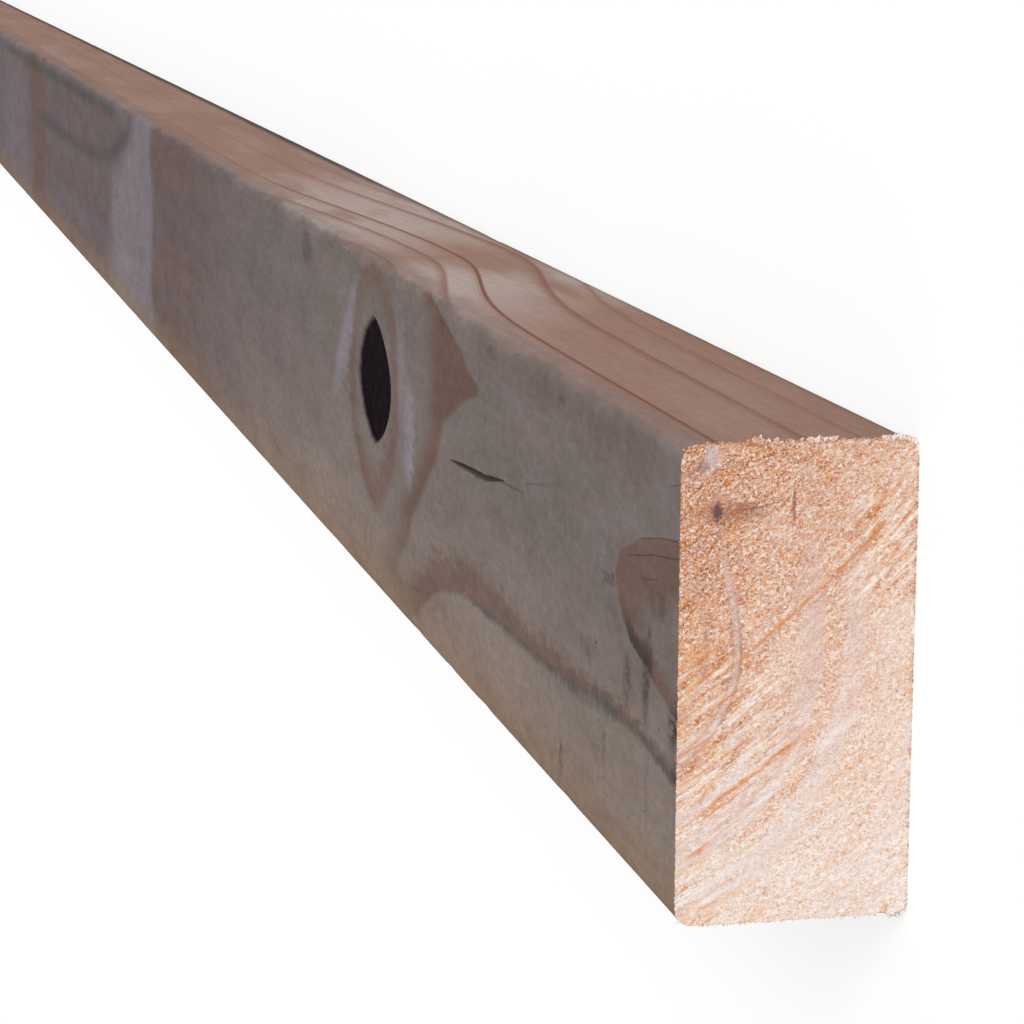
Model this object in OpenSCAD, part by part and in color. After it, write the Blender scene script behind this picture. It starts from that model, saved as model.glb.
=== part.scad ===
// Softwood framing plank: one straight length of sawn stock.
// It lies flat on one wide face. Z is up, X runs along the plank,
// and the origin is the middle of the face that it lies on.

/* [Stock] */
// Length of the plank, from one sawn end to the other
plank_length = 2400; // [300:10:6000]
// Width of the plank, across its wide faces
plank_width = 90; // [40:1:300]
// Thickness of the plank, between its wide faces
plank_thickness = 45; // [16:1:100]

/* [Edges] */
// Radius to which the four long edges are eased
edge_radius = 3.5; // [0.5:0.1:6]

/* [Hidden] */
$fn = 64;
weathered_wood = [0.50, 0.43, 0.39];

// Section across the plank: Y across the width, Z up through the thickness,
// with each long edge rounded by a true quarter circle
module section(width, thickness, radius) {
    flat_width = width - 2 * radius;
    flat_thickness = thickness - 2 * radius;
    translate([-width / 2, radius]) square([width, flat_thickness]);
    translate([-flat_width / 2, 0]) square([flat_width, thickness]);
    for (side = [-1, 1], level = [radius, thickness - radius])
        translate([side * flat_width / 2, level]) circle(r = radius);
}

// The whole plank, sawn square at both ends
module plank() {
    color(weathered_wood)
        translate([-plank_length / 2, 0, 0])
            rotate([90, 0, 90])
                linear_extrude(height = plank_length)
                    section(plank_width, plank_thickness, edge_radius);
}

plank();
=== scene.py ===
import math
import random

import bmesh
import bpy
from mathutils import Matrix, Vector, noise


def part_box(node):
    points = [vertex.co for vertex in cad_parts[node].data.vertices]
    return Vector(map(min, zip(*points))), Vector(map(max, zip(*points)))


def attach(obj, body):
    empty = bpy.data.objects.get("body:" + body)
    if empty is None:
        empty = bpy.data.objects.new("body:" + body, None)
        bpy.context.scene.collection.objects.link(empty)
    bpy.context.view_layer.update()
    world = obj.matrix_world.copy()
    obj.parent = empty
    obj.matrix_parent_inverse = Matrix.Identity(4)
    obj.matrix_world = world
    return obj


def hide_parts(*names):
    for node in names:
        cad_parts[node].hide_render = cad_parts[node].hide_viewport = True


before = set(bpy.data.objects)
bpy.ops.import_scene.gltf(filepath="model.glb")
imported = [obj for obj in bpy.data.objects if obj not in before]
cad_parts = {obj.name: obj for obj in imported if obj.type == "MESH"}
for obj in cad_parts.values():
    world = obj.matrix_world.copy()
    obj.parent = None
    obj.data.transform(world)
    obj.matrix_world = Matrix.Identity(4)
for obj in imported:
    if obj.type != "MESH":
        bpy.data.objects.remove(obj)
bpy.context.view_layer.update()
lowCorner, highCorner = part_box("plank")
mm = 0.001
plankLength, plankWidth, plankDepth = [side / mm for side in highCorner - lowCorner]
# A place on the plank is along (from the near sawn end), across (from the front edge face)
# and deep (below the upper face), all in mm


def spot(along, across, deep):
    return lowCorner + Vector((along, across, plankDepth - deep)) * mm


def placeOf(point):  # the other way round: along, across and deep of a point in the frame
    rise = (point - lowCorner) / mm
    return rise.x, rise.y, plankDepth - rise.z


def tint(red, green, blue):  # a colour as the screen shows it, in the linear values that nodes take
    levels = [part / 255 for part in (red, green, blue)]
    linear = [level / 12.92 if level <= 0.04045 else ((level + 0.055) / 1.055) ** 2.4 for level in levels]
    return (*linear, 1)


class Wire:  # a node's output that can be used in sums
    def __init__(self, graph, socket):
        self.graph = graph
        self.socket = socket

    def __add__(self, other):
        return self.graph.maths("ADD", self, other)

    def __radd__(self, other):
        return self.graph.maths("ADD", other, self)

    def __sub__(self, other):
        return self.graph.maths("SUBTRACT", self, other)

    def __rsub__(self, other):
        return self.graph.maths("SUBTRACT", other, self)

    def __mul__(self, other):
        return self.graph.maths("MULTIPLY", self, other)

    def __rmul__(self, other):
        return self.graph.maths("MULTIPLY", other, self)

    def __truediv__(self, other):
        return self.graph.maths("DIVIDE", self, other)

    def __rtruediv__(self, other):
        return self.graph.maths("DIVIDE", other, self)

    def __pow__(self, other):
        return self.graph.maths("POWER", self, other)

    def __rpow__(self, other):
        return self.graph.maths("POWER", other, self)

    def __abs__(self):
        return self.graph.maths("ABSOLUTE", self)


class Graph:  # the nodes of a material or of the world
    def __init__(self, owner):
        self.owner = owner
        owner.use_nodes = True
        self.tree = owner.node_tree
        self.tree.nodes.clear()

    def node(self, kind, settings=None, inputs=None, output=0):
        made = self.tree.nodes.new("ShaderNode" + kind)
        for name, value in (settings or {}).items():
            if name == "stops":
                self.setStops(made.color_ramp.elements, value)
            elif name == "blending":
                made.color_ramp.interpolation = value
            else:
                setattr(made, name, value)
        for name, value in (inputs or {}).items():
            if isinstance(value, Wire):
                self.tree.links.new(value.socket, made.inputs[name])
            else:
                made.inputs[name].default_value = value
        return Wire(self, made.outputs[output]) if made.outputs else None

    def setStops(self, elements, stops):
        while len(elements) < len(stops):
            elements.new(1)
        for element, (place, level) in zip(elements, sorted(stops)):
            element.position = place
            element.color = level if isinstance(level, tuple) else (level, level, level, 1)

    def maths(self, operation, *values):
        return self.node("Math", {"operation": operation}, dict(enumerate(values)))

    def smooth(self, value, start, end):  # 0 at start and 1 at end, whichever is higher
        settings = {"interpolation_type": "SMOOTHSTEP"}
        return self.node("MapRange", settings, {"Value": value, "From Min": start, "From Max": end})

    def larger(self, first, second):
        return self.maths("MAXIMUM", first, second)

    def limit(self, value):
        return self.node("Clamp", None, {"Value": value})

    def mix(self, share, first, second):
        return self.node("Mix", {"data_type": "RGBA"}, {0: share, 6: first, 7: second}, 2)

    def cloud(self, x, y, z, detail=2.0, roughness=0.5):
        place = self.node("CombineXYZ", None, {"X": x, "Y": y, "Z": z})
        inputs = {"Vector": place, "Scale": 1, "Detail": detail, "Roughness": roughness}
        return self.node("TexNoise", None, inputs)

    def swing(self, x, y, z, detail=2.0, roughness=0.5):  # the same, mostly between -1 and 1
        return self.cloud(x, y, z, detail, roughness) * 4 - 2

    def curve(self, value, span, reach, points, blending="CARDINAL"):  # a line through a few points
        wide, high = span[1] - span[0], reach[1] - reach[0]
        stops = [((x - span[0]) / wide, (y - reach[0]) / high) for x, y in points]
        share = (value - span[0]) / wide
        level = self.node("ValToRGB", {"blending": blending, "stops": stops}, {"Fac": share})
        return level * high + reach[0]

    def patch(self, x, y, middle, reach, soft):  # an oval stain
        wide = (x - middle[0]) / reach[0]
        high = (y - middle[1]) / reach[1]
        return self.smooth(wide * wide + high * high, 1 + soft, 1 - soft)

    def place(self):  # along, across and deep of the place that is shaded
        held = self.node("TexCoord", None, None, "Object")
        shift = tuple(-part for part in lowCorner)
        moved = self.node("VectorMath", {"operation": "ADD"}, {0: held, 1: shift})
        scaled = self.node("VectorMath", {"operation": "SCALE"}, {0: moved, "Scale": 1 / mm})
        parts = [self.node("SeparateXYZ", None, {"Vector": scaled}, axis) for axis in "XYZ"]
        return parts[0], parts[1], plankDepth - parts[2]

    def attribute(self, name):
        return self.node("Attribute", {"attribute_name": name}, None, "Fac")

    def finish(self, colour, roughness, height, bumpDepth, bumpStrength, gloss):
        bumpInputs = {"Strength": bumpStrength, "Distance": bumpDepth * mm, "Height": height}
        normal = self.node("Bump", None, bumpInputs)
        inputs = {"Base Color": colour, "Roughness": roughness, "Normal": normal, "Specular IOR Level": gloss}
        shader = self.node("BsdfPrincipled", None, inputs)
        self.node("OutputMaterial", None, {"Surface": shader})
        return self.owner


# Growth rings, shared by the faces and the sawn ends
grain = {
    "heartDeep": -10,  # the rings' middle lies just above the upper face
    "heartAcross": 38,
    "frontBend": 0.33,  # how fast the rings bend round towards the front edge
    "backBend": 0.87,
    "knotAlong": 308,
    "knotReach": (78, 170),  # how far the knot pulls the rings, on its near and far side
    "knotPull": 15,
    "wander": (1.5, 15.5),  # how much the rings waver before the knot and in the far half
    "wanderSize": (330, 60, 60),
    "wanderStart": (350, 900),
    "span": (-25, 75),
    # Place of each ring, its strength, how slowly early wood darkens and how fast late wood ends
    "rings": ((-7, 0.5, 3, 0.7), (3.2, 0.5, 3, 0.7), (9.1, 0.3, 0.3, 0.25), (9.75, 0.35, 0.3, 0.25),
              (10.8, 1, 1.4, 0.7), (26.4, 0.55, 3.4, 0.7), (36.3, 0.4, 3, 0.7), (43.5, 0.3, 2.5, 0.6),
              (51, 0.5, 3, 0.7), (58, 0.6, 3, 0.7)),
}


def knotPull(g, along):  # how far off the knot is, in terms of its reach, and how hard it pulls there
    nearReach, farReach = grain["knotReach"]
    past = g.smooth(along, grain["knotAlong"] - 1, grain["knotAlong"] + 1)
    off = (along - grain["knotAlong"]) / (past * (farReach - nearReach) + nearReach)
    return off, g.maths("EXPONENT", off * off * -1)


def ringAt(g, along, across, deep):  # distance from the rings' middle
    toBack = g.smooth(across, grain["heartAcross"] - 2, grain["heartAcross"] + 2)
    bend = toBack * (grain["backBend"] - grain["frontBend"]) + grain["frontBend"]
    aside = (across - grain["heartAcross"]) * bend
    below = deep - grain["heartDeep"]
    radius = (below * below + aside * aside) ** 0.5 + grain["heartDeep"]
    off, pull = knotPull(g, along)
    length, width, height = grain["wanderSize"]
    wander = g.cloud(along / length, across / width, deep / height) - 0.5
    least, most = grain["wander"]
    farther = g.smooth(along, *grain["wanderStart"])
    return radius - pull * grain["knotPull"] + wander * (farther * (most - least) + least)


def lateWood(g, ring):  # 1 on a strong line of late wood
    points = []
    for place, strength, soft, sharp in grain["rings"]:
        points += [(place - soft, 0), (place, strength), (place + sharp, 0)]
    return g.curve(ring, grain["span"], (0, 1), points, "LINEAR")


# The weathered, fine sawn long faces
faceTones = {
    # grey, warmGrey and bluish: the wide faces' weathered colour, kept darker than the edge tones partly as
    # painted shade
    "grey": tint(122, 111, 107),
    "warmGrey": tint(144, 128, 119),
    "bluish": tint(116, 112, 115),
    # Painted shade, laid on the wide faces towards the far end
    "farShade": tint(108, 97, 101),
    "edge": tint(150, 119, 106),
    "edgePale": tint(177, 162, 155),
    "late": tint(122, 77, 58),
    "brown": tint(116, 94, 85),
    "dark": tint(66, 62, 62),
    "moss": tint(84, 83, 79),
    "knot": tint(24, 13, 19),
    "lilac": tint(141, 132, 139),
    "honey": tint(146, 119, 92),
    # split: painted shade inside splits
    "split": tint(72, 62, 60),
    "umber": tint(111, 87, 78),
    "torn": tint(206, 150, 112),
}

faceTextures = {
    # Size along, across and deep in mm, start in the noise, detail and roughness
    "fibre": (40, 0.6, 0.6, 0, 2, 0.6),  # streaks along the grain
    "sawn": (0.9, 5, 24, 0, 1, 0.6),  # short fine lines left across it by the saw
    "mottle": (5, 2.2, 2.2, 0, 4, 0.65),
    "broad": (110, 22, 22, 0, 3, 0.5),
    "blotch": (26, 9, 9, 40, 3, 0.6),
    "teeth": (1.3, 6, 6, 0, 3, 0.6),
    "speck": (3, 1.3, 1.3, 0, 4, 0.7),
}


def weatheredTimber():
    g = Graph(bpy.data.materials.new("weatheredTimber"))
    along, across, deep = g.place()
    fibre, sawn, mottle, broad, blotch, teeth, speck = [
        g.swing(along / length + start, across / width, deep / height, detail, roughness)
        for length, width, height, start, detail, roughness in faceTextures.values()]
    late = lateWood(g, ringAt(g, along, across, deep))
    off, pull = knotPull(g, along)
    slope = g.limit(abs(off) * pull * 2.3)  # high where the knot bends the rings most
    # The upper face with its hollows, both wide faces, and these with a dull strip under the upper arrises
    inside = g.smooth(abs(across - plankWidth / 2), plankWidth / 2 - 3, plankWidth / 2 - 4)
    toUpper = g.smooth(deep + mottle * 0.15 + blotch * 0.7, 3.2, -0.2)
    upper = g.larger(toUpper, g.smooth(deep, 7, 6) * inside)
    wide = g.larger(upper, g.smooth(deep, plankDepth - 2.2, plankDepth - 0.3))
    dulled = g.larger(wide, g.smooth(deep + blotch * 2, 8.5, 2) * 0.45)
    # Edge faces, pinkish brown with late wood lines
    edge = g.mix(g.smooth(broad, -0.4, 0.8) * 0.2, faceTones["edge"], faceTones["edgePale"])
    edge = g.mix(g.smooth(deep, plankDepth - 9, plankDepth - 1) * 0.3, edge, faceTones["honey"])
    silver = g.limit(slope * (1 - late * 1.4) * g.smooth(broad, -0.8, 0.2))
    edge = g.mix(silver * 0.9, edge, faceTones["edgePale"])
    lines = g.smooth(late, 0.05, 0.85) * (0.88 - g.smooth(along, 320, 620) * 0.55)
    edge = g.mix(lines, edge, faceTones["late"])
    # Painted shade: a dark strip along the arris next to the lower face, stronger towards the far end
    fading = g.smooth(along, 150, 700)
    lowArrisShade = g.smooth(deep + blotch * 0.6 + fading * 2.6, plankDepth - 4.4, plankDepth - 1.6)
    edge = g.mix(lowArrisShade * (fading * 0.4 + 0.4), edge, faceTones["dark"])
    # The wide faces, greyer and darker than the edge faces: partly their weathered colour, partly painted
    # shade of faces turned from the light; darker again towards the far end, painted shade
    warm = g.smooth(across, 28, 86) * 0.88 + broad * 0.18
    grey = g.mix(g.limit(warm), faceTones["grey"], faceTones["warmGrey"])
    grey = g.mix(g.smooth(blotch, 0, 0.9) * 0.4, grey, faceTones["bluish"])
    # Painted shade: the wide faces darken towards the far end
    grey = g.mix(g.smooth(along, 300, 800) * 0.8, grey, faceTones["farShade"])
    figured = g.larger(g.smooth(along, 420, 800), 1 - upper)
    grey = g.mix(late * figured * 0.7, grey, faceTones["brown"])
    colour = g.mix(dulled, edge, grey)
    colour = upperFigure(g, colour, along, across, upper, mottle, teeth)
    # Fine tone: specks, fibres and saw lines
    specks = g.smooth(speck, 0.4, 0.8) * g.smooth(blotch, -0.2, 0.5)
    colour = g.mix(specks * (wide * 0.3 + 0.4), colour, faceTones["dark"])
    onWide = g.larger(g.smooth(deep, 0.8, 0.1), g.smooth(deep, plankDepth - 0.8, plankDepth - 0.1))
    tone = fibre * (0.1 - wide * 0.06) + sawn * onWide * 0.055 + mottle * (wide * 0.07 + 0.09) + 1
    tone = tone + blotch * (wide * 0.1 + 0.04) + broad * wide * 0.06
    colour = g.node("VectorMath", {"operation": "SCALE"}, {0: colour, "Scale": tone})
    # Painted shade inside the open split, darkest where it is deepest
    colour = g.mix(g.limit(g.attribute("split")), colour, faceTones["split"])
    # The torn rim at the ends of the lower face
    fromEnd = plankLength / 2 - abs(along - plankLength / 2)
    colour = g.mix(g.smooth(fromEnd, 3, 1.5) * g.smooth(deep, 39, 42), colour, faceTones["torn"])
    return g.finish(colour, 0.85 + mottle * 0.05, mottle * 0.14, 0.25, 0.5, 0.02)


# Stains and figure of the upper face: along and across in mm
upperMarks = {
    "tongueSpan": (0, 60),
    "tongueTop": ((0, 17.6), (14, 19.8), (26, 21.8), (33, 24), (44, 28), (47.5, 33)),
    "tongueLow": ((0, 51), (7, 50), (21, 46.6), (36, 43.4), (44, 38), (47.5, 33)),
    "bandSpan": (0, 280),
    "bandEdge": ((0, 63), (16, 61.4), (30, 60.5), (48, 60.8), (74, 63), (110, 64.6), (160, 66),
                 (195, 68), (230, 76), (262, 89)),
    "bandHeight": ((0, 2.5), (30, 2.6), (60, 3.4), (95, 4.6), (130, 5.2), (160, 7.5), (210, 9), (260, 10)),
    "bandDark": ((0, 1.5), (30, 1.2), (65, 2.4), (95, 1.5), (150, 1.2), (200, 0.5)),  # width of its dark edge
    "sweepEdge": ((0, 238), (2.3, 223), (8.5, 197), (13, 185), (16, 174), (19.6, 186), (28.6, 211),
                  (34, 217), (43, 227), (57.6, 249), (70, 263), (90, 292)),
    "sweepStop": 228,
    "knot": (309, 33),
    "knotReach": (24, 17),
    "knotShape": (1.4, 1.8),  # powers that make its outline a pointed oval
    "haloReach": (33, 31),
    # Along at its middle, across of the middle, half width, half length, lean and strength
    "paleStreaks": ((349, 26, 10, 20, 1.1, 0.8), (259, 40, 7, 13, 0, 0.9), (272, 24, 8, 20, 0, 0.4),
                    (12, 1.9, 6, 1.3, 0, 0.4)),
    # Middle, reach and strength
    "warmth": (((40, 7), (26, 6), 0.3), ((120, 6), (60, 5), 0.25)),
    "smudges": (((3, 53.5), (4, 4), 0.95), ((23.4, 50), (2.6, 8), 0.75), ((37, 52), (3.4, 4.5), 0.65),
                ((68, 53), (3, 2.4), 0.45), ((2, 62), (2.5, 2.5), 0.7), ((91, 81.5), (1.8, 4), 0.85),
                ((93, 5.4), (3, 1.2), 0.55), ((161, 5.6), (5, 1.4), 0.55), ((420, 9), (9, 5), 0.5),
                ((52, 35), (6, 1.3), 0.6), ((14, 32.5), (8, 3), 0.55), ((21, 43), (2.2, 5), 0.75),
                ((55, 70), (1.6, 4), 0.4), ((22, 70), (1.5, 8), 0.3), ((247, 83), (5, 2.6), 0.6)),
    # Hairline splits: along and across of a few points, half width and strength
    "hairlines": ((((0, 21), (20, 24), (40, 28)), 0.22, 0.7), (((14, 27.6), (30, 30.4)), 0.2, 0.6),
                  (((0, 17.8), (14, 19.7), (30, 22.8)), 0.2, 0.7), (((0, 7.2), (10, 9.4)), 0.2, 0.55),
                  (((107, 26.2), (128, 29.4)), 0.4, 0.4), (((127, 31.4), (149, 32.7)), 0.45, 0.45)),
    # Bands of figure along the far half: start, end, how soft each of the two is, tone and strength
    "farBands": ((640, 808, 160, 14, "umber", 0.35), (1335, 1420, 40, 40, "umber", 0.6),
                 (1460, 1640, 90, 160, "lilac", 0.22), (1850, 2010, 180, 120, "brown", 0.2)),
    "lilacStart": 823,
    "lilacEnd": ((0, 880), (18, 908), (40, 962), (62, 981), (90, 990)),
    # Dark ring lines of the far half: along and across of a few points, half width
    "farLines": ((((885, 2), (911, 11.5), (985, 27), (1146, 32.7), (1430, 34)), 7),
                 (((940, 5.5), (1195, 6.5), (1680, 7)), 5)),
}


def upperFigure(g, colour, along, across, upper, ragged, teeth):
    def lay(under, share, over):
        return g.mix(g.limit(share * upper), under, faceTones[over])

    sway = g.swing(along / 90, across / 26, 5) * 22
    for start, end, softStart, softEnd, tone, strength in upperMarks["farBands"]:
        far = along + sway
        band = g.smooth(far, start - softStart / 2, start + softStart / 2)
        band = band * g.smooth(far, end + softEnd / 2, end - softEnd / 2)
        colour = lay(colour, band * strength, tone)
    lilacEnd = along - g.curve(across, (0, 90), (860, 1000), upperMarks["lilacEnd"])
    lilac = g.smooth(along + sway * 0.3, upperMarks["lilacStart"] - 10, upperMarks["lilacStart"] + 8)
    colour = lay(colour, lilac * g.smooth(lilacEnd + sway * 0.5, 30, -20) * 0.6, "lilac")
    for points, half in upperMarks["farLines"]:
        off = abs(across - g.curve(along, (800, 1800), (0, 50), points) + ragged)
        line = g.smooth(off, half, 0)
        line = line * g.smooth(along, points[0][0], points[0][0] + 40)
        line = line * g.smooth(along, points[-1][0], points[-1][0] - 120)
        colour = lay(colour, line * 0.6, "moss")
    # The ring that sweeps round the knot
    sweepEdge = g.curve(across, (0, 90), (160, 310), upperMarks["sweepEdge"])
    sweep = along - sweepEdge + ragged * 2
    sweepEnd = g.larger(sweepEdge + 12, upperMarks["sweepStop"]) - along + ragged * 2
    sweepShare = g.smooth(sweep, -2, 4) * g.smooth(sweepEnd, -14, 8)
    colour = lay(colour, sweepShare * g.smooth(across, 95, 50) * 0.9, "umber")
    colour = lay(colour, g.smooth(abs(sweep - 4), 6, 1) * g.smooth(across, 50, 20) * 0.35, "umber")
    for middle, side, wide, high, lean, strength in upperMarks["paleStreaks"]:
        leaning = along - (across - side) * lean + ragged * 2
        streak = g.patch(leaning, across, (middle, side), (wide, high), 0.95)
        colour = lay(colour, streak * strength, "lilac")
    # The knot and its halo
    knotAlong, knotAcross = upperMarks["knot"]
    haloX = (along - knotAlong + ragged * 2.5 + sway * 0.2) / upperMarks["haloReach"][0]
    haloY = (across - knotAcross + sway * 0.15) / upperMarks["haloReach"][1]
    halo = (haloX * haloX + haloY * haloY) ** 0.5
    colour = lay(colour, g.smooth(halo, 0.6, 0.92) * g.smooth(halo, 1.16, 0.96) * 0.75, "brown")
    knotX = abs(along - knotAlong + ragged * 0.5) / upperMarks["knotReach"][0]
    knotY = abs(across - knotAcross) / upperMarks["knotReach"][1]
    outline = knotX ** upperMarks["knotShape"][0] + knotY ** upperMarks["knotShape"][1]
    colour = lay(colour, g.smooth(outline, 1.1, 0.9), "knot")
    # The brown band with its dark toothed lower edge
    bandSpan = upperMarks["bandSpan"]
    above = g.curve(along, bandSpan, (50, 95), upperMarks["bandEdge"]) - across + ragged * 0.5 + teeth * 1.1
    bandHeight = g.curve(along, bandSpan, (0, 12), upperMarks["bandHeight"])
    band = g.smooth(above, -0.6, 0.8) * g.smooth((above + ragged) / bandHeight, 1.5, 0.5)
    colour = lay(colour, band * g.smooth(along, 300, 250) * 0.7, "umber")
    darkWidth = g.curve(along, bandSpan, (0, 4), upperMarks["bandDark"])
    darkEdge = g.smooth(abs(above) / darkWidth, 1.2, 0.2) * g.smooth(along, 210, 170)
    darkEdge = darkEdge * (g.smooth(g.swing(along / 14, across / 8, 9), -0.6, 0.5) * 0.6 + 0.4)
    colour = lay(colour, darkEdge * 0.75, "moss")
    # The tongue at the near end, charred along its lower side
    tongueSpan = upperMarks["tongueSpan"]
    under = across - g.curve(along, tongueSpan, (10, 60), upperMarks["tongueTop"]) + ragged * 0.4
    over = g.curve(along, tongueSpan, (10, 60), upperMarks["tongueLow"]) - across + ragged * 0.4 + teeth * 0.4
    tongue = g.smooth(under, -0.3, 0.5) * g.smooth(over, -0.3, 0.5) * g.smooth(along, 48, 46.5)
    core = g.smooth(along, 34, 16) * g.smooth(under, 9, 15) * g.smooth(over, 3, 6)
    colour = lay(colour, tongue * (1 - core * 0.8) * 0.95, "brown")
    char = g.smooth(over + teeth * 1.5 + ragged, 6, 1.5) * g.smooth(along, 14, 24) * g.smooth(along, 44, 33)
    colour = lay(colour, tongue * char * 0.85, "dark")
    # Warm patches and dark smudges
    for middle, reach, strength in upperMarks["warmth"]:
        warm = g.patch(along + ragged * 3, across + ragged, middle, reach, 0.95)
        colour = lay(colour, warm * strength, "brown")
    stain = 0
    for middle, reach, strength in upperMarks["smudges"]:
        mark = g.patch(along + ragged * 1.5 + teeth, across + ragged * 2, middle, reach, 0.9) * strength
        stain = g.larger(stain, mark)
    colour = lay(colour, stain * g.smooth(ragged * 1.6 + teeth * 0.6, -1, 0.6), "dark")
    # Hairline splits, their dark lines painted shade in the fine gaps
    for points, half, strength in upperMarks["hairlines"]:
        off = abs(across - g.curve(along, (0, 160), (0, 50), points, "LINEAR") + ragged * 0.25)
        line = g.smooth(off, half, half * 0.3)
        line = line * g.smooth(along, points[0][0] - 2, points[0][0] + 2)
        line = line * g.smooth(along, points[-1][0] + 2, points[-1][0] - 5)
        colour = lay(colour, line * strength, "split")
    # The arris at the back has kept a honey tint
    return lay(colour, g.smooth(across, 72, 89) * 0.55, "honey")


# The freshly sawn ends
endTones = {
    # cuts runs from orange-brown, partly painted shade in the torn fuzz, to the white of its fibres
    "cuts": ((0, tint(138, 76, 46)), (0.22, tint(191, 121, 84)), (0.42, tint(218, 175, 150)),
             (0.6, tint(230, 209, 195)), (0.8, tint(240, 232, 226)), (1, tint(252, 249, 246))),
    "lilac": tint(206, 190, 192),
    "paleLilac": tint(228, 216, 215),
    "line": tint(180, 138, 126),
    # orange: in the saw marks partly painted shade in their grooves
    "orange": tint(212, 138, 78),
    "amber": tint(222, 166, 102),
    "cream": tint(240, 216, 180),
    "chip": tint(244, 241, 240),
    # glow: orange of the gaps in the fuzz, partly painted shade
    "glow": tint(234, 168, 106),
    "mauve": tint(194, 164, 158),
    "plum": tint(92, 70, 84),
    "wine": tint(116, 66, 60),
    "ash": tint(142, 124, 112),
    "umber": tint(160, 100, 68),
}

sawTextures = {
    # Size along and across the marks of the saw in mm, start in the noise, detail and roughness
    "streak": (26, 2.6, 0, 3, 0.6),
    "chips": (4, 1.3, 11, 2, 0.6),
    "grit": (1.1, 0.6, 0, 2, 0.7),
    "fleck": (2, 0.7, 23, 2, 0.6),
    "stroke": (18, 1.3, 41, 2, 0.6),
    "sweep": (40, 2.6, 61, 3, 0.6),
    "flake": (1.4, 0.9, 83, 3, 0.7),
}

crumbTextures = {
    # Size in mm, start in the noise, detail and roughness
    "crumb": (0.42, 3, 2, 0.6),
    "spice": (0.85, 29, 2, 0.65),
    "broad": (12, 7, 2, 0.5),
    "hue": (4, 17, 3, 0.5),
}

# Marks of the ends: deep and across in mm
endMarks = {
    "sawSlope": (0.92, 0.004),  # the saw marks rise this much, and less towards the back edge
    "sawLean": 0.8,  # the same for the length of a mark
    "shade": (0.285, 0.67),  # lightness of the upper front corner and of the lower back one
    "farShift": 57,  # the far end takes other saw marks
    # Late wood bands: where on the rings each starts, is full, fades and ends, and its strength
    "lateBands": ((9.3, 9.8, 10.6, 11, 0.85), (22, 25, 26.6, 28.8, 0.7), (30.5, 33.3, 34.8, 36.8, 0.6)),
    "ringLines": ((10.8, 0.5, 0.65), (9.3, 0.3, 0.5), (4.2, 0.9, 0.4)),  # place, half width and strength
    # Bulge of the innermost ring: across and how far
    "bulge": ((0, 0.4), (16, 1.4), (28, 0), (38, -1.1), (50, -1), (62, -0.5), (90, 0)),
    # Lighter or darker patches, and rusty ones: middle, reach and strength
    "shades": (((32, 46), (20, 36), -0.05), ((30, 55), (13, 18), -0.07), ((18, 37), (6, 11), 0.08)),
    "rust": (((2, 44), (8, 20), 0.35), ((3, 70), (10, 14), 0.22), ((1, 88), (8, 5), 0.4)),
    "creamPatch": ((27, 8), (21, 14)),
    # Tone, middle, reach, raggedness and strength
    "spots": (("lilac", (5.8, 2.5), (1.5, 2.1), 0.5, 0.6), ("ash", (4, 4.2), (1.1, 1.3), 0.6, 0.6),
              ("umber", (9.5, 12.8), (7, 2.2), 1, 0.55), ("plum", (7, 12.6), (0.9, 1.6), 0.4, 0.85),
              ("orange", (40.7, 88.6), (0.7, 1), 1.2, 0.6)),
    "redLine": ((21.4, 11.6), (0.35, 2.8)),
    "hairline": ((9, 12.3), (13, 12.1), (17, 11.4), (20, 10.4)),
    # Bold marks of the saw: rise, half width, start and end
    "streaks": ((49, 0.3, 8, 46), (71.6, 0.45, 3, 26), (47, 0.3, 0, 13), (78.5, 0.5, 0, 9), (43, 0.5, 0, 10)),
    "streakZones": (((6, 56), (18, 20)), ((40, 20), (14, 12)), ((2, 88), (9, 6))),  # where the saw cut deeper
    "calmZone": 0.35,  # its marks elsewhere
}


def sawRise(across, deep):  # equal along one mark of the saw
    first, loss = endMarks["sawSlope"]
    return across + deep * (first - across * loss)


def sawRun(across, deep):  # grows along a mark of the saw
    return deep - across * endMarks["sawLean"]


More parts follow.
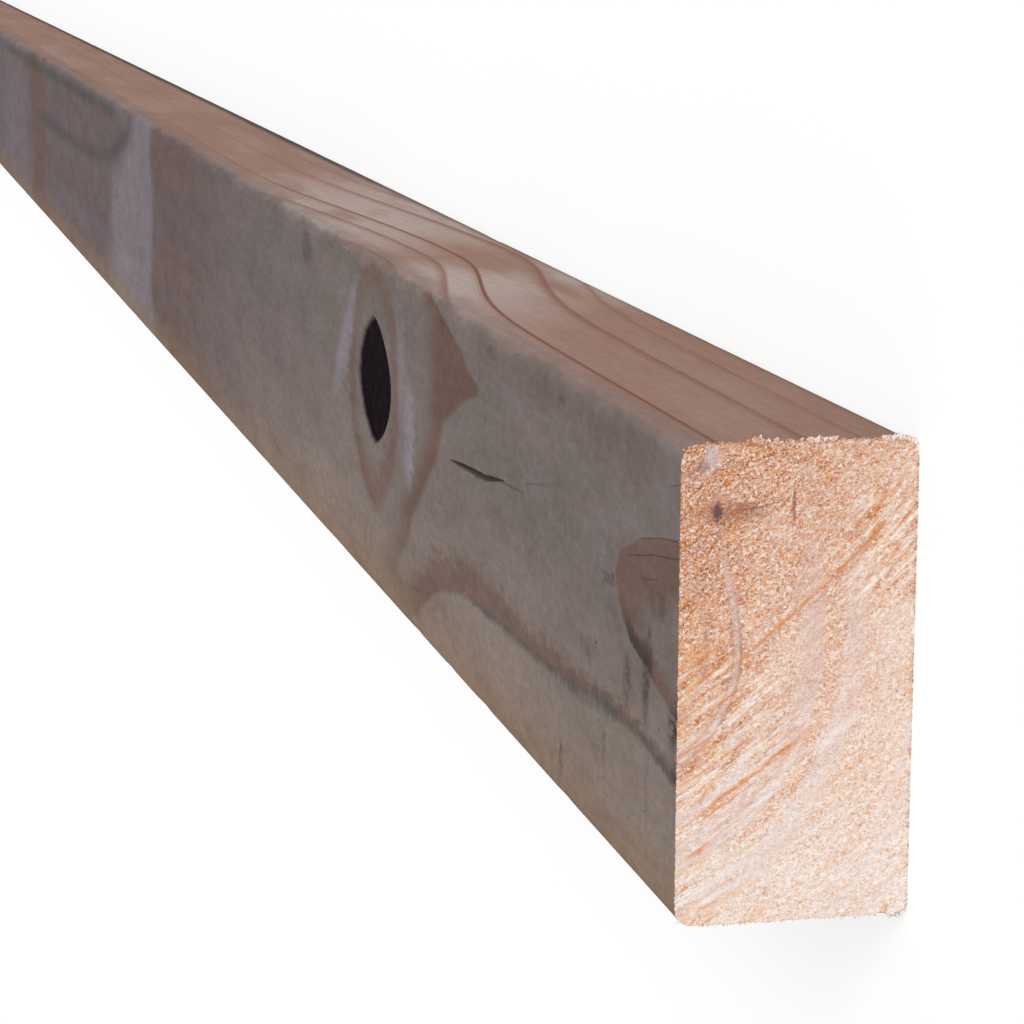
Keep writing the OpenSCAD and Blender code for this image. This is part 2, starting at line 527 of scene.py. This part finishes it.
def sawnEnd():
    g = Graph(bpy.data.materials.new("sawnEnd"))
    along, across, deep = g.place()
    ring = ringAt(g, along, across, deep)
    ring = ring + g.curve(across, (0, 90), (-2, 2), endMarks["bulge"]) * g.smooth(ring, 20, 13)
    nearEnd = g.smooth(along, plankLength / 2 + 1, plankLength / 2 - 1)
    shift = (1 - nearEnd) * endMarks["farShift"]
    rise, run = sawRise(across, deep), sawRun(across, deep)
    streak, chips, grit, fleck, stroke, sweep, flake = [
        g.swing(run / length, rise / width + shift, start, detail, roughness)
        for length, width, start, detail, roughness in sawTextures.values()]
    crumb, spice, broad, hue = [
        g.swing(deep / size, across / size + shift, start, detail, roughness)
        for size, start, detail, roughness in crumbTextures.values()]

    def lay(under, pattern, start, end, share, tone):
        return g.mix(g.smooth(pattern, start, end) * share, under, endTones[tone])

    # Lightness: darker at the upper front corner, where the torn fuzz is roughest, smoother on the late wood;
    # the orange-brown low end of the cuts ramp is partly painted shade between the torn fibres
    toCorner = g.smooth(deep * 0.85 + across * 0.6, 6, 73)
    zone = endMarks["calmZone"]
    for middle, reach in endMarks["streakZones"]:
        zone = g.larger(zone, g.patch(deep, across, middle, reach, 0.8))
    smoothCut = 0
    for begin, full, fade, end, strength in endMarks["lateBands"]:
        smoothCut = g.larger(smoothCut, g.smooth(ring, begin, full) * g.smooth(ring, end, fade) * strength)
    smoothCut = smoothCut * (g.smooth(across, 12, 34) * 0.8 + 0.2)
    low, high = endMarks["shade"]
    level = toCorner * (high - low) + low + broad * 0.06
    level = level + streak * zone * zone * 0.32 + chips * (zone * 0.12 + 0.03)
    bite = (grit * 0.2 + crumb * 0.31) * (g.smooth(toCorner, 0.45, 0) * 0.4 + 0.8)
    level = level + bite * (1 - smoothCut * 0.4) + g.attribute("tone") * 0.22
    level = level + chips * (1 - toCorner) * 0.12
    for middle, reach, strength in endMarks["shades"]:
        level = level + g.patch(deep, across, middle, reach, 0.9) * strength
    colour = g.node("ValToRGB", {"stops": endTones["cuts"]}, {"Fac": level})
    # Warmer and cooler patches, and chips of both kinds: pale torn fibres and orange gaps between them, the
    # gaps partly painted shade
    amber = g.smooth(hue, 0, 0.8) * (0.3 - toCorner * 0.2) + (zone - endMarks["calmZone"]) * 0.12
    for middle, reach, strength in endMarks["rust"]:
        amber = amber + g.patch(deep, across, middle, reach, 0.9) * g.smooth(chips, -0.6, 0.6) * strength
    colour = g.mix(g.limit(amber), colour, endTones["amber"])
    colour = lay(colour, hue, 0.3, -0.5, g.patch(deep, across, *endMarks["creamPatch"], 0.9) * 0.25, "cream")
    rough = 1 - smoothCut * 0.6
    colour = lay(colour, spice, 0.15, 0.75, (0.56 - toCorner * 0.2) * rough, "glow")
    colour = lay(colour, spice, -0.1, -0.7, rough * 0.66, "chip")
    colour = lay(colour, hue, 0, -0.8, 0.3 - toCorner * 0.15, "mauve")
    lilac = g.mix(toCorner, endTones["lilac"], endTones["paleLilac"])
    colour = g.mix(smoothCut * 0.5, colour, lilac)
    for place, half, strength in endMarks["ringLines"]:
        off = abs(ring - place + grit * 0.1)
        colour = lay(colour, off, half, half * 0.2, g.smooth(across, 20, 36) * strength, "line")
    # Over the lower half, faint lilac bands along the rings and orange sweeps of the saw, the orange partly
    # painted shade in its marks
    veil = g.swing(ring / 2.4 + shift, (deep + across) / 50, 61, 3, 0.6)
    lower = g.smooth(across + deep * 0.4, 40, 75)
    colour = lay(colour, flake, 0.15, 0.8, lower * 0.42, "glow")
    colour = lay(colour, flake, -0.1, -0.7, lower * 0.6, "chip")
    colour = lay(colour, veil, 0.05, 0.5, lower * 0.55, "paleLilac")
    colour = lay(colour, sweep, 0.3, 0.7, lower * 0.4, "chip")
    colour = lay(colour, sweep, -0.2, -0.7, lower * 0.3, "glow")
    # Deeper marks of the saw: orange partly painted shade in their grooves, white the torn fibres
    colour = lay(colour, fleck, 0.35, 0.8, zone * 0.5 + 0.05, "orange")
    colour = lay(colour, fleck, -0.5, -0.9, zone * 0.5 + 0.1, "chip")
    colour = lay(colour, stroke, 0.25, 0.7, (zone - 0.3) * 0.95, "orange")
    colour = lay(colour, stroke, -0.25, -0.7, (zone - 0.3) * 0.9, "chip")
    lines = 0
    for place, half, begin, end in endMarks["streaks"]:
        one = g.smooth(abs(rise - place + grit * 0.4 + chips * 0.35), half * 2.2, half * 0.3)
        one = one * g.smooth(deep, begin, begin + 5) * g.smooth(deep, end, end - 5)
        lines = g.larger(lines, one)
    colour = lay(colour, chips + crumb * 0.5, -0.8, 0.3, lines * nearEnd * 0.9, "orange")
    # Spots and fine lines of the near end
    for tone, middle, reach, ragged, strength in endMarks["spots"]:
        mark = g.patch(deep + crumb * ragged, across + grit * ragged, middle, reach, 0.8)
        colour = g.mix(mark * nearEnd * strength, colour, endTones[tone])
    red = g.patch(deep + crumb * 0.2, across + grit * 0.2, *endMarks["redLine"], 0.8)
    colour = lay(colour, grit, -0.9, 0.5, red * nearEnd * 0.85, "wine")
    line = g.curve(deep, (0, 45), (0, 20), endMarks["hairline"]) - across + grit * 0.15
    hair = g.smooth(abs(line), 0.4, 0.1) * g.smooth(deep, 9, 13) * g.smooth(deep, 20, 16)
    colour = lay(colour, grit, -1.2, 0.6, hair * nearEnd * 0.65, "plum")
    return g.finish(colour, 0.9, grit * 0.15 + crumb * 0.15, 0.4, 0.7, 0.2)


def addPiece(name, bm, materials):
    mesh = bpy.data.meshes.new(name)
    bm.to_mesh(mesh)
    bm.free()
    piece = bpy.data.objects.new(name, mesh)
    bpy.context.scene.collection.objects.link(piece)
    for material in materials:
        mesh.materials.append(material)
    return piece


# The plank's own mesh
plankMesh = {
    "arris": 3.5,
    "arrisSteps": 6,
    "cell": 2.6,  # mm across the long faces
    "zones": ((0, 8), (6, 110), (350, 90), (-6, 6)),  # start along the plank and number of cells
    "endCuts": 4,  # each edge of the end's outline is cut again
    "endInset": 0.6,  # the mean cut lies this far inside, so that torn fibres stay in the box
    # Relief of the ends: height, and size along and across the marks of the saw
    "ridges": (0.15, 30, 2.4),
    "tufts": (0.25, 1.3, 0.9),
    "crumbs": (0.2, 0.7),
    "splitCuts": 7,
    "splitProfile": ((-1, 0), (-0.65, 0.9), (0, 1), (0.65, 0.9), (1, 0)),  # offset and depth across a split
    # The one open drying split: along and across of a few points, half width and depth
    "splits": ((((147, 32.2), (167, 35), (175, 35.5), (206, 37.4)), 0.95, 1.1),),
    "knotSink": 1.1,
    "knotRim": 0.2,  # share of the knot's reach in which its wall goes down
    "wave": (0.1, 70, 24),  # depth, and size along and round the plank
    "rimNibble": (0.25, 0.45),  # on the front and upper sides, and on the lower side
    "rimReach": (4, 2.5),  # how far the nibbles go along the plank and inward
    "cornerChip": (89, 40, 0.7),  # across, deep and depth of a bit that is missing at the near end
    "arrisWear": (0.3, 20),  # depth and size along the plank
    "bakeRun": 800,  # length of plank to one row of the bake map
    "bakeRow": 0.245,  # height of a row in the map
    "bakeGap": 0.004,
}


def stationAt(step):  # distance along the plank of a cross section
    zones = plankMesh["zones"]
    starts = [start if start >= 0 else plankLength + start for start, count in zones] + [plankLength]
    for (start, count), begin, end in zip(zones, starts, starts[1:]):
        if step <= count:
            return begin + (end - begin) * step / count
        step -= count
    return plankLength


def plankBlank():
    bm = bmesh.new()
    bmesh.ops.create_cube(bm, size=1)
    bmesh.ops.scale(bm, vec=highCorner - lowCorner, verts=bm.verts)
    bmesh.ops.translate(bm, vec=(lowCorner + highCorner) / 2, verts=bm.verts)

    def edgesAlong(axis, least):
        return [e for e in bm.edges if abs(e.verts[0].co[axis] - e.verts[1].co[axis]) > least * mm]

    arris = plankMesh["arris"]
    bmesh.ops.bevel(bm, geom=edgesAlong(0, plankLength / 2), offset=arris * mm, offset_type="OFFSET",
                    segments=plankMesh["arrisSteps"], profile=0.5, affect="EDGES", material=-1)
    bmesh.ops.delete(bm, geom=[f for f in bm.faces if len(f.verts) > 4], context="FACES_ONLY")
    for axis, side in ((1, plankWidth), (2, plankDepth)):
        flat = side - 2 * arris
        cuts = round(flat / plankMesh["cell"])
        bmesh.ops.subdivide_edges(bm, edges=edgesAlong(axis, flat * 0.9), cuts=cuts)
    steps = sum(count for start, count in plankMesh["zones"])
    bmesh.ops.subdivide_edges(bm, edges=edgesAlong(0, plankLength / 2), cuts=steps - 1)
    for v in bm.verts:
        along = placeOf(v.co)[0]
        v.co.x = lowCorner.x + stationAt(round(along / plankLength * steps)) * mm
    for run in range(1, round(plankLength / plankMesh["bakeRun"])):
        cut = spot(run * plankMesh["bakeRun"], 0, 0)
        everything = bm.verts[:] + bm.edges[:] + bm.faces[:]
        bmesh.ops.bisect_plane(bm, geom=everything, plane_co=cut, plane_no=(1, 0, 0))
    return bm


def closeEnds(bm):
    endFaces = []
    for far in (False, True):
        def rim():
            return [e for e in bm.edges if e.is_boundary and (e.verts[0].co.x > 0) == far]

        bmesh.ops.subdivide_edges(bm, edges=rim(), cuts=plankMesh["endCuts"])
        rails = []
        for edge in rim():
            along, across, deep = placeOf((edge.verts[0].co + edge.verts[1].co) / 2)
            if min(across, plankWidth - across) < min(deep, plankDepth - deep):
                rails.append(edge)
        endFaces.append(bmesh.ops.grid_fill(bm, edges=rails, mat_nr=1, use_interp_simple=True)["faces"])
    return endFaces


def onUpperFace(point):
    along, across, deep = placeOf(point)
    return deep < 0.01 and plankMesh["arris"] < across < plankWidth - plankMesh["arris"]


def lineAt(points, along):  # across of a split's middle line
    for (fromAlong, fromAcross), (toAlong, toAcross) in zip(points, points[1:]):
        if along <= toAlong:
            return fromAcross + (toAcross - fromAcross) * (along - fromAlong) / (toAlong - fromAlong)
    return points[-1][1]


def openSplits(bm):
    split = bm.verts.layers.float.new("split")
    for points, half, depth in plankMesh["splits"]:
        begin, end = points[0][0], points[-1][0]

        def nearLine(point, margin):
            along, across, deep = placeOf(point)
            return begin - 0.5 < along < end + 0.5 and abs(across - lineAt(points, along)) < margin

        crossing = []
        for e in bm.edges:
            first, second = e.verts[0].co, e.verts[1].co
            if abs(first.x - second.x) < 0.01 * mm and onUpperFace((first + second) / 2):
                if nearLine((first + second) / 2, plankMesh["cell"]):
                    crossing.append(e)
        bmesh.ops.subdivide_edges(bm, edges=crossing, cuts=plankMesh["splitCuts"])
        columns = {}
        for v in bm.verts:
            if onUpperFace(v.co) and nearLine(v.co, plankMesh["cell"]):
                columns.setdefault(round(placeOf(v.co)[0], 2), []).append(v)
        for along, column in columns.items():
            column.sort(key=lambda v: v.co.y)
            line = lineAt(points, along) + 0.12 * noise.noise(Vector((along / 3, begin, 0)))
            middle = min(range(len(column)), key=lambda i: abs(placeOf(column[i].co)[1] - line))
            if not 2 <= middle <= len(column) - 3:
                continue
            share = (along - begin) / (end - begin)
            gape = min(max(math.sin(math.pi * share), 0.05), 1) ** 0.6  # widest at its middle
            for step, (offset, sunk) in enumerate(plankMesh["splitProfile"]):
                v = column[middle + step - 2]
                v.co = spot(along, line + offset * half * gape, sunk * depth * gape)
                # the sunk share also sets the painted shade of the split
                v[split] = sunk


def sinkKnot(bm):
    middle, reach, shape = upperMarks["knot"], upperMarks["knotReach"], upperMarks["knotShape"]
    border = 1.1  # where the outline's value ends the hollow

    def outline(point):
        along, across, deep = placeOf(point)
        knotX = abs(along - middle[0]) / reach[0]
        knotY = abs(across - middle[1]) / reach[1]
        return knotX ** shape[0] + knotY ** shape[1]

    near = []
    for f in bm.faces:
        centre = f.calc_center_median()
        if onUpperFace(centre) and outline(centre) < border + 0.25:
            near.append(f)
    edges = list({e for f in near for e in f.edges})
    bmesh.ops.subdivide_edges(bm, edges=edges, cuts=3, use_grid_fill=True)
    for v in bm.verts:
        if onUpperFace(v.co) and outline(v.co) < border:
            depth = min((border - outline(v.co)) / plankMesh["knotRim"], 1)
            grainy = noise.noise(Vector((v.co.x, v.co.y, 0)) / (4 * mm))
            v.co.z -= plankMesh["knotSink"] * depth * (1 + 0.25 * grainy) * mm


def girthAt(across, deep):  # distance round the outline from its lower back corner
    back, low = plankWidth - across, plankDepth - deep
    inward = (low, across, deep, back)  # from the lower, front, upper and back face
    starts = (0, plankWidth, plankWidth + plankDepth, 2 * plankWidth + plankDepth)
    runs = (back, low, across, deep)
    nearest, second = sorted(range(4), key=lambda side: inward[side])[:2]
    girth = starts[nearest] + runs[nearest]
    if inward[second] < plankMesh["arris"]:
        girth += inward[nearest] if second == (nearest + 1) % 4 else -inward[nearest]
    return girth


def wearSurface(bm):  # small dents, all inward
    chipAcross, chipDeep, chipDepth = plankMesh["cornerChip"]
    leastNibble, mostNibble = plankMesh["rimNibble"]
    rimLength, rimDepth = plankMesh["rimReach"]
    waveDepth, waveLength, waveWidth = plankMesh["wave"]
    wearDepth, wearLength = plankMesh["arrisWear"]
    directions = [Vector(way) for way in ((0, 1, 0), (0, -1, 0), (0, 0, -1), (0, 0, 1))]
    for v in bm.verts:
        along, across, deep = placeOf(v.co)
        inward = (across, plankWidth - across, deep, plankDepth - deep)
        nearest, second = sorted(range(4), key=lambda side: inward[side])[:2]
        fromEnd = min(along, plankLength - along)
        girth = girthAt(across, deep)
        if fromEnd < rimLength and inward[nearest] < rimDepth:
            lower = max((deep - 38) / 7, 0)
            nibble = max(noise.noise(Vector((girth / 0.9, along / 9, 4))), 0)
            nibble *= leastNibble + (mostNibble - leastNibble) * lower
            if along < plankLength / 2:
                away = math.dist((across, deep), (chipAcross, chipDeep))
                nibble += chipDepth * math.exp(-away * away / 2.5)
            move = nibble * (1 - fromEnd / rimLength) * (1 - inward[nearest] / rimDepth)
            v.co += directions[nearest] * move * mm
        if inward[nearest] < 0.01 and fromEnd > rimLength:
            wave = noise.noise(Vector((along / waveLength, girth / waveWidth, 8))) * 0.5 + 0.5
            v.co += directions[nearest] * waveDepth * wave * mm
        if inward[second] < plankMesh["arris"] and fromEnd > 2:
            wear = max(noise.noise(Vector((along / wearLength, round(girth / 45), 2))) - 0.25, 0)
            v.co += (directions[nearest] + directions[second]) * wear * wearDepth * mm


def endRelief(across, deep, side):  # how far the sawn surface stands out of the mean cut
    run, rise = sawRun(across, deep), sawRise(across, deep)
    ridge, ridgeLength, ridgeWidth = plankMesh["ridges"]
    tuft, tuftLength, tuftWidth = plankMesh["tufts"]
    crumb, crumbSize = plankMesh["crumbs"]
    relief = ridge * noise.noise(Vector((run / ridgeLength, rise / ridgeWidth, side * 9)))
    relief += tuft * noise.noise(Vector((run / tuftLength, rise / tuftWidth, side * 5)))
    return relief + crumb * noise.noise(Vector((deep / crumbSize, across / crumbSize, side * 3)))


def roughenEnds(bm, endFaces):
    for side, faces in zip((1, -1), endFaces):
        for v in {v for f in faces for v in f.verts}:
            along, across, deep = placeOf(v.co)
            proud = endRelief(across, deep, side)
            v.co.x += side * max(plankMesh["endInset"] - proud, 0) * mm


def bakeMap(bm):  # long faces in rows of one run each, the two ends below them
    uv = bm.loops.layers.uv.new("OFBake")
    whole = 2 * (plankWidth + plankDepth)
    gap, row, run = plankMesh["bakeGap"], plankMesh["bakeRow"], plankMesh["bakeRun"]
    for f in bm.faces:
        middle = placeOf(f.calc_center_median())
        places = [placeOf(loop.vert.co) for loop in f.loops]
        if f.material_index == 1:
            left = 0 if middle[0] < plankLength / 2 else 0.5
            for loop, (along, across, deep) in zip(f.loops, places):
                loop[uv].uv = (left + gap + across / plankWidth * (0.5 - 2 * gap),
                               gap + deep / plankDepth * (0.25 - 2 * gap))
            continue
        number = int(middle[0] // run)
        girths = [girthAt(across, deep) for along, across, deep in places]
        if max(girths) - min(girths) > whole / 2:
            girths = [girth + whole if girth < whole / 2 else girth for girth in girths]
        for loop, (along, across, deep), girth in zip(f.loops, places, girths):
            loop[uv].uv = (gap + (along / run - number) * (1 - 2 * gap),
                           0.25 + number * row + gap + girth / (whole + 4) * (row - 2 * gap))


def plankPiece():
    bm = plankBlank()
    endFaces = closeEnds(bm)
    openSplits(bm)
    sinkKnot(bm)
    wearSurface(bm)
    roughenEnds(bm, endFaces)
    bmesh.ops.recalc_face_normals(bm, faces=bm.faces)
    bakeMap(bm)
    triangles = sum(len(f.verts) - 2 for f in bm.faces)
    print("plank mesh:", len(bm.faces), "faces,", triangles, "triangles")
    for f in bm.faces:
        f.smooth = True
    for faces in endFaces:
        inEnd = set(faces)
        for edge in {e for f in faces for e in f.edges}:
            edge.smooth = all(f in inEnd for f in edge.link_faces)
    piece = addPiece("timber_plank", bm, (weatheredTimber(), sawnEnd()))
    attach(piece, "root")
    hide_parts("plank")


# Slivers and crumbs that the saw left standing on the ends
slivers = {
    "seed": 7,
    "counts": (6000, 3000),  # on the near and on the far end
    "length": (0.3, 0.75),
    "width": (0.13, 0.32),
    "tone": (-0.8, 1.4),  # below 0 darker and above it paler than the cut
    "sawTurn": (41, 32),  # degrees of the saw's marks, and how far slivers stray from them
    "backward": 0.4,  # share that leans the other way
    # Tufts on the front rim of the near end: deep of the middle, half width, number, reach
    "tufts": ((14.3, 1.9, 26, 1.2), (18, 0.5, 6, 0.9), (20.5, 0.5, 6, 0.9), (26, 3.2, 44, 1),
              (40.8, 2.8, 46, 1.2)),
    "tuftReach": (0.4, 1.1),
    "tuftWidth": (0.35, 0.9),
    "tuftTone": (0.3, 1.6),
    # Larger flakes in the tufts: deep, reach and width
    "flakes": ((12.6, 1.1, 0.7), (13.6, 1.3, 1.1), (14.8, 1.4, 1.3), (15.7, 1, 0.9), (18, 1.1, 0.9),
               (20.6, 0.9, 0.8), (24, 1, 1), (25.6, 1.3, 1.2), (26.8, 1.2, 0.8), (28.4, 1.3, 1.1),
               (38.6, 1, 0.9), (40, 1.3, 1), (41.6, 1.4, 1.2), (43, 1.1, 0.9)),
    "flakeReach": (0.8, 1.1),
    "flakeWidth": (0.7, 1),
    # Number and reach on the front, back, upper and lower rim
    "rim": ((90, 0.5), (90, 0.4), (70, 0.2), (260, 0.6)),
    "rimReach": (0.5, 1.4),
    "rimWidth": (0.15, 0.4),
    "rimTone": (-1, 0.8),
    "corner": (130, 1.3),  # the same at the lower back corner, which the fuzz fills
    "cornerReach": (0.4, 1.1),
    "cornerWidth": (0.25, 0.6),
    "cornerTone": (-0.9, 1.2),
    # Corners in a sliver's own bit of the bake map
    "cell": ((0.25, 0.25), (0.75, 0.25), (0.75, 0.75), (0.25, 0.75)),
}


def spikeBlank(count):  # numbered copies of one upright spike, a mm wide and long
    bm = bmesh.new()
    bmesh.ops.create_cone(bm, cap_ends=True, segments=3, radius1=0.55, radius2=0.5, depth=0.55)
    bmesh.ops.translate(bm, vec=(0, 0, 0.275), verts=bm.verts)
    cap = max(bm.faces, key=lambda f: f.calc_center_median().z)
    bmesh.ops.poke(bm, faces=[cap], offset=0.45)
    number = bm.verts.layers.int.new("number")
    made = 1
    while made < count:
        copies = bmesh.ops.duplicate(bm, geom=bm.verts[:] + bm.edges[:] + bm.faces[:])["geom"]
        for v in copies:
            if isinstance(v, bmesh.types.BMVert):
                v[number] += made
        made *= 2
    bmesh.ops.delete(bm, geom=[v for v in bm.verts if v[number] >= count], context="VERTS")
    return bm, number


def spikeTurn(base, lean, length, width):  # the matrix that lays such a spike in its place on the plank
    out = Vector((-1, 0, 0)) if base.x < plankLength / 2 else Vector((1, 0, 0))
    lean = lean.normalized()
    side = lean.cross(out + Vector((0, 0.1, 0.05))).normalized()
    turn = Matrix((side * width, side.cross(lean) * width, lean * length)).transposed()
    return Matrix.Translation(base) @ turn.to_4x4()


def frontAt(deep):  # across of the outline's front side, which is rounded at both ends
    arris = plankMesh["arris"]
    inside = min(deep, plankDepth - deep, arris)
    return arris - math.sqrt(arris * arris - (arris - inside) ** 2)


def scatterSlivers():  # matrix, bend of the tip and tone of each
    draw = random.Random(slivers["seed"])
    spikes = []

    def pick(name):
        return draw.uniform(*slivers[name])

    def add(base, lean, length, width, level):
        bend = Vector([draw.uniform(-0.5, 0.5) for axis in range(3)]) * length
        spikes.append((spikeTurn(base, lean, length, width), bend, level))

    for far, count in enumerate(slivers["counts"]):
        side = -1 if far else 1
        made = 0
        while made < count:
            across, deep = draw.uniform(0.3, plankWidth - 0.3), draw.uniform(0.3, plankDepth - 0.3)
            cluster = noise.noise(Vector((sawRun(across, deep), sawRise(across, deep) * 4, side * 31)) / 5)
            if draw.random() > 0.75 + cluster - (deep + across) / 220:
                continue
            made += 1
            sunk = plankMesh["endInset"] - endRelief(across, deep, side) + 0.1
            base = Vector((sunk if side > 0 else plankLength - sunk, across, deep))
            turn = math.radians(slivers["sawTurn"][0] + draw.gauss(0, slivers["sawTurn"][1]))
            turn += math.pi if draw.random() < slivers["backward"] else 0
            lean = Vector((-side * draw.uniform(0.15, 0.7), -math.sin(turn), math.cos(turn)))
            add(base, lean, pick("length"), pick("width"), pick("tone"))
    for middle, half, count, reach in slivers["tufts"]:
        for step in range(count):
            deep = min(middle + draw.gauss(0, half * 0.55), plankDepth - 0.3)
            base = Vector((draw.uniform(0.3, 1.2), frontAt(deep) + draw.uniform(0, 0.4), deep))
            lean = Vector((draw.uniform(-0.6, 0.2), -1, draw.gauss(0, 0.7)))
            add(base, lean, reach * pick("tuftReach"), pick("tuftWidth"), pick("tuftTone"))
    for deep, reach, width in slivers["flakes"]:
        for step in range(2):
            base = Vector((draw.uniform(0.4, 1), frontAt(deep) + 0.2, deep + draw.uniform(-0.3, 0.3)))
            lean = Vector((draw.uniform(-0.4, 0.1), -1, draw.gauss(0, 0.5)))
            add(base, lean, reach * pick("flakeReach"), width * pick("flakeWidth"), pick("tuftTone"))
    for side, (count, reach) in enumerate(slivers["rim"]):
        for step in range(count):
            share = draw.uniform(0.1, 0.9) if side < 2 else draw.uniform(0.05, 0.95)
            across = (0.1, plankWidth - 0.1, share * plankWidth, share * plankWidth)[side]
            deep = (share * plankDepth, share * plankDepth, 0.1, plankDepth - 0.4)[side]
            aside = (-1, 1, 0, 0)[side] + draw.gauss(0, 0.6)
            down = (0, 0, -1, 1)[side] + draw.gauss(0, 0.6)
            base = Vector((draw.uniform(0.3, 0.9), across, deep))
            lean = Vector((-0.6, aside, down))
            add(base, lean, pick("rimReach") * reach, pick("rimWidth"), pick("rimTone"))
    count, reach = slivers["corner"]
    arris = plankMesh["arris"]
    for step in range(count):
        turn = draw.uniform(-0.15, 1.15) * math.pi / 2
        out = Vector((0, math.cos(turn), math.sin(turn)))
        base = Vector((draw.uniform(0.3, 1.4), plankWidth - arris, plankDepth - arris)) + out * arris * 0.93
        base.y, base.z = min(base.y, plankWidth - 0.1), min(base.z, plankDepth - 0.1)
        lean = Vector((draw.uniform(-0.4, 0.2), 1 + draw.gauss(0, 0.5), 1 + draw.gauss(0, 0.5)))
        add(base, lean, reach * pick("cornerReach"), pick("cornerWidth"), pick("cornerTone"))
    return spikes


def sliverPiece():
    spikes = scatterSlivers()
    bm, number = spikeBlank(len(spikes))
    tone = bm.verts.layers.float.new("tone")
    uv = bm.loops.layers.uv.new("OFBake")
    grid = math.ceil(math.sqrt(len(spikes)))
    for v in bm.verts:
        turn, bend, level = spikes[v[number]]
        along, across, deep = turn @ v.co + bend * max(v.co.z - 0.55, 0)
        v.co = spot(min(max(along, 0), plankLength), across, min(deep, plankDepth))
        v[tone] = level
    for f in bm.faces:
        row, column = divmod(f.verts[0][number], grid)
        for loop, (x, y) in zip(f.loops, slivers["cell"]):
            loop[uv].uv = ((column + x) / grid, (row + y) / grid)
    bm.verts.layers.int.remove(number)
    bmesh.ops.recalc_face_normals(bm, faces=bm.faces)
    piece = addPiece("saw_slivers", bm, (bpy.data.materials["sawnEnd"],))
    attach(piece, "root")
    print("slivers:", len(spikes))


# Stage, light and camera
stage = {
    "floorSize": 60,
    "floorTone": (0.92, 0.92, 0.92, 1),
    "floorGlow": (0.7, 1.1),  # share of glow that the camera sees in the floor, and its strength
    "white": (1, 1, 1, 1),
    "worldStrength": 0.6,
    "sunStrength": 1.75,
    "sunFrom": (-0.70, -0.50, 0.51),
    "sunAngle": 28,  # degrees, a soft light
    "cameraAt": (-1.7757, -0.1442, 0.2057),
    "cameraAlong": (0.9590, 0.1837, -0.2158),
    "cameraUp": (0.1806, -0.9830, -0.0342),  # the plank lies flat, so the camera is rolled on its side
    "lens": 118.9,
    "sensor": 36,
}


def makeFloor():
    g = Graph(bpy.data.materials.new("paleFloor"))
    share, strength = stage["floorGlow"]
    seen = g.node("LightPath", None, None, "Is Camera Ray")
    paint = g.node("BsdfDiffuse", None, {"Color": stage["floorTone"]})
    glow = g.node("Emission", None, {"Color": stage["white"], "Strength": strength})
    both = g.node("MixShader", None, {0: seen * share, 1: paint, 2: glow})
    g.node("OutputMaterial", None, {"Surface": both})
    g.owner.cycles.emission_sampling = "NONE"  # it glows for the camera alone
    bm = bmesh.new()
    bmesh.ops.create_grid(bm, x_segments=1, y_segments=1, size=stage["floorSize"] / 2)
    addPiece("floor", bm, (g.owner,))


def makeLight():
    g = Graph(bpy.data.worlds.new("studio"))
    seen = g.node("LightPath", None, None, "Is Camera Ray")
    soft = g.node("Background", None, {"Color": stage["white"], "Strength": stage["worldStrength"]})
    backdrop = g.node("Background", None, {"Color": stage["white"]})
    both = g.node("MixShader", None, {0: seen, 1: soft, 2: backdrop})
    g.node("OutputWorld", None, {"Surface": both})
    bpy.context.scene.world = g.owner
    lamp = bpy.data.lights.new("softSun", "SUN")
    lamp.energy = stage["sunStrength"]
    lamp.angle = math.radians(stage["sunAngle"])
    sun = bpy.data.objects.new("softSun", lamp)
    sun.rotation_mode = "QUATERNION"
    sun.rotation_quaternion = Vector(stage["sunFrom"]).to_track_quat("Z", "Y")
    bpy.context.scene.collection.objects.link(sun)


def makeCamera():
    lens = bpy.data.cameras.new("camera")
    lens.lens = stage["lens"]
    lens.sensor_width = stage["sensor"]
    lens.clip_end = 100
    camera = bpy.data.objects.new("camera", lens)
    back = -Vector(stage["cameraAlong"]).normalized()
    right = Vector(stage["cameraUp"]).cross(back).normalized()
    turn = Matrix((right, back.cross(right), back)).transposed()
    camera.matrix_world = Matrix.Translation(stage["cameraAt"]) @ turn.to_4x4()
    bpy.context.scene.collection.objects.link(camera)
    bpy.context.scene.camera = camera


bpy.context.scene.view_settings.view_transform = "Standard"
makeCamera()
makeFloor()
makeLight()
print("stage, light and camera set")
plankPiece()
sliverPiece()
print("plank made")
